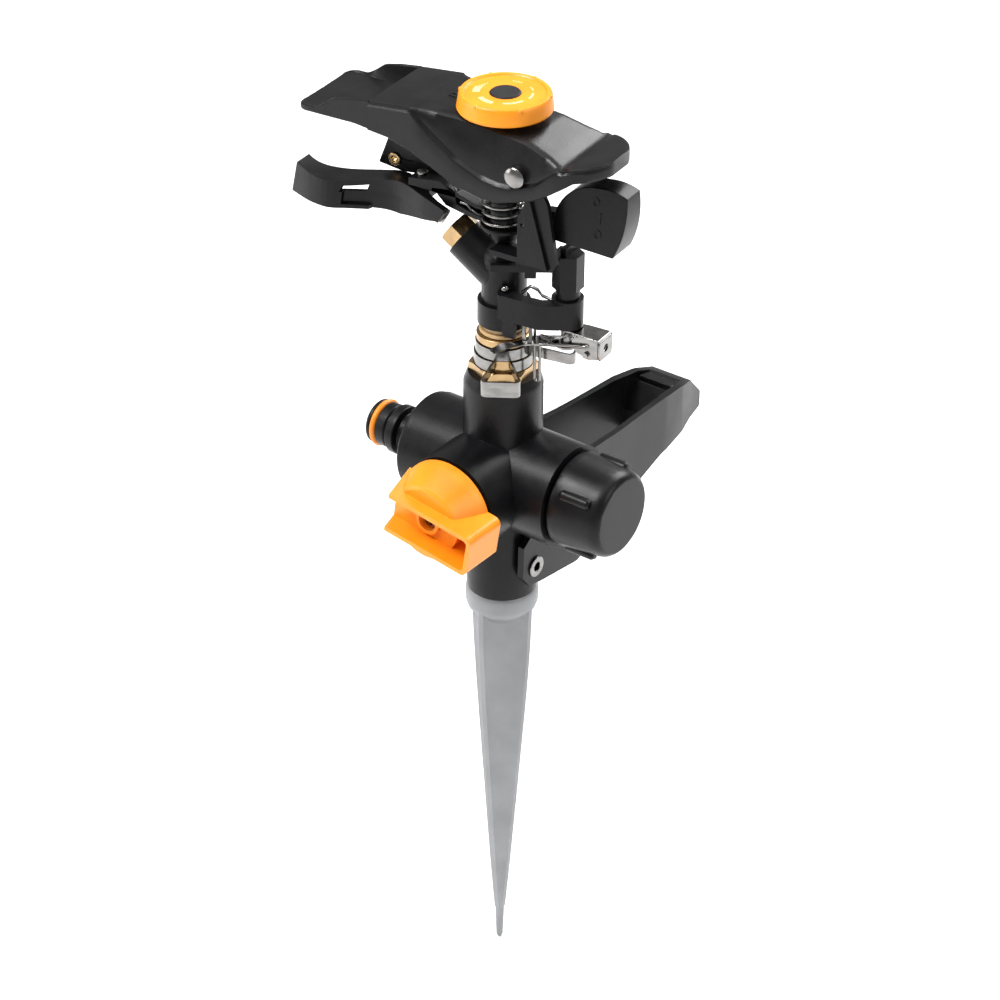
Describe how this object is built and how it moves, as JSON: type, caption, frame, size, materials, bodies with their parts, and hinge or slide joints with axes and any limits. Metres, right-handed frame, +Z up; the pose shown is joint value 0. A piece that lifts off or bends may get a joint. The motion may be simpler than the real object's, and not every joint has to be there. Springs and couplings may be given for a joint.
{
  "type": "impact sprinkler",
  "caption": "Impact sprinkler on a ground spike: flow valve, capped outlet, foot pedal, arc collars, trip lever, sprung hammer and a tilting deflector hood with a dial.",
  "frame": {"origin": "on the vertical turning axis, at the seat where the ground spike meets the valve body", "axes": "+Z up along the turning axis, -X towards the hose inlet, +X towards the capped outlet, -Y towards the valve knob, +Y towards the foot pedal"},
  "size_m": [0.1308, 0.1612, 0.349],
  "materials": {
    "black_plastic": "satin moulded black plastic",
    "orange_plastic": "satin moulded orange plastic",
    "cast_aluminium": "die cast, lightly shot blasted",
    "brass": "turned brass",
    "steel": "bright stainless strip and wire",
    "rubber": "black rubber",
    "orange_rubber": "orange rubber",
    "pale_plastic": "pale low-friction plastic"
  },
  "bodies": {
    "base": {"ground_spike": "cast_aluminium", "valve_body": "black_plastic", "inlet_nipple": "black_plastic", "inlet_gasket": "rubber", "inlet_o_ring": "orange_rubber", "bearing_base": "brass", "bearing_seal": "rubber", "pedal_rivet": "steel"},
    "valve": {"valve_knob": "orange_plastic", "valve_plug": "pale_plastic", "valve_o_rings": "rubber", "valve_screw": "steel"},
    "cap_carrier": {"cap_washer": "rubber"},
    "cap": {"end_cap": "black_plastic"},
    "pedal": {"foot_pedal": "black_plastic"},
    "lower_collar": {"collar_lower": "steel"},
    "upper_collar": {"collar_upper": "steel"},
    "head": {"head_body": "black_plastic", "spindle": "brass", "thrust_washers": "pale_plastic", "nozzle": "brass", "arm_bracket": "black_plastic", "arm_pin": "steel", "brake_strip": "steel", "post_pin": "steel", "hammer_shaft": "steel", "shaft_washers": "pale_plastic", "hood_saddle": "black_plastic", "hood_pin_near": "steel", "hood_pin_far": "steel"},
    "catch": {"reversing_catch": "black_plastic"},
    "trip": {"trip_leaf": "steel", "trip_cheek": "steel", "trip_roller": "steel", "trip_finger": "steel"},
    "hammer": {"hammer_arm": "black_plastic", "counterweight": "black_plastic", "spoon": "black_plastic", "splitter_blade": "steel", "vane_plate": "black_plastic", "vane_eyelet": "brass", "spoon_screw": "steel", "hammer_bush": "brass", "hammer_spring": "steel"},
    "hood_cover": {"hood": "black_plastic"},
    "dial": {"range_dial": "orange_plastic", "dial_button": "black_plastic", "dial_screw": "steel"}
  },
  "joints": [
    {"name": "valve_turn", "type": "hinge", "parent": "base", "child": "valve", "pos_m": [0, 0, 0.0464], "axis": [0, 1, 0], "range_deg": [-90, 90]},
    {"name": "cap_slide", "type": "slide", "parent": "base", "child": "cap_carrier", "axis": [1, 0, 0], "range_m": [0, 0.016]},
    {"name": "cap_unscrew", "type": "hinge", "parent": "cap_carrier", "child": "cap", "pos_m": [0.04, 0, 0.0464], "axis": [1, 0, 0], "range_deg": [0, 3176]},
    {"name": "pedal_fold", "type": "hinge", "parent": "base", "child": "pedal", "pos_m": [0, -0.0015, 0.0135], "axis": [1, 0, 0], "range_deg": [-60, 0]},
    {"name": "collar_lower_turn", "type": "hinge", "parent": "base", "child": "lower_collar", "pos_m": [0, 0, 0.092], "axis": [0, 0, 1], "range_deg": [-270, 0]},
    {"name": "collar_upper_turn", "type": "hinge", "parent": "base", "child": "upper_collar", "pos_m": [0, 0, 0.096], "axis": [0, 0, 1], "range_deg": [0, 270]},
    {"name": "head_swivel", "type": "hinge", "parent": "base", "child": "head", "pos_m": [0, 0, 0.102], "axis": [0, 0, 1], "range_deg": [-20, 4]},
    {"name": "trip_lever", "type": "hinge", "parent": "head", "child": "trip", "pos_m": [0.02419, 0.00233, 0.104], "axis": [0, 0, 1], "range_deg": [0, 12]},
    {"name": "catch_turn", "type": "hinge", "parent": "head", "child": "catch", "pos_m": [0.02419, 0.00233, 0.128], "axis": [0, 0, 1], "range_deg": [0, 6]},
    {"name": "hammer_swing", "type": "hinge", "parent": "head", "child": "hammer", "pos_m": [0, 0, 0.149], "axis": [0, 0, 1], "range_deg": [0, 75], "stiffness_Nm_per_rad": 0.02, "springref_deg": -17.19, "deforming": ["hammer_spring"]},
    {"name": "hood_tilt", "type": "hinge", "parent": "head", "child": "hood_cover", "pos_m": [0.01354, 0.0013, 0.168], "axis": [-0.0958, 0.9954, 0], "range_deg": [-5, 0]},
    {"name": "dial_turn", "type": "hinge", "parent": "hood_cover", "child": "dial", "pos_m": [0, 0, 0.182], "axis": [0, 0, 1], "range_deg": [0, 300]}
  ],
  "couplings": [
    {"joint": "cap_unscrew", "follows": "cap_slide", "rad_per_m": 3463.7},
    {"joint": "catch_turn", "follows": "trip_lever", "ratio": 0.5},
    {"joint": "hood_tilt", "follows": "dial_turn", "ratio": -0.016667}
  ]
}
